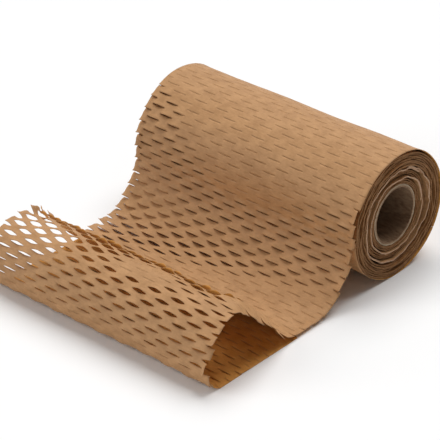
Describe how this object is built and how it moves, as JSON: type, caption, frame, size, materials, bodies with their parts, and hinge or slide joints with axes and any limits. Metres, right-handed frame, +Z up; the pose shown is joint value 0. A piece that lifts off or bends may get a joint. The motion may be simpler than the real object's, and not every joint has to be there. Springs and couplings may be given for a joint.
{
  "type": "honeycomb packing paper roll",
  "caption": "Roll of brown slit kraft packing paper on a cardboard core tube, its first length pulled off over the front and folded back under itself in a hump.",
  "frame": {"origin": "on the floor, at the middle of the flat spot that the roll rests on, half-way along the roll", "axes": "+X along the roll's axis, -Y towards the pulled-out sheet, +Z up"},
  "size_m": [0.2, 0.2402, 0.0915],
  "materials": {
    "core_board": "matte, spiral-wound board",
    "kraft_paper": "matte brown kraft, slit in staggered rows"
  },
  "bodies": {
    "root": {"core_tube": "core_board", "slit_paper": "kraft_paper"}
  },
  "joints": []
}
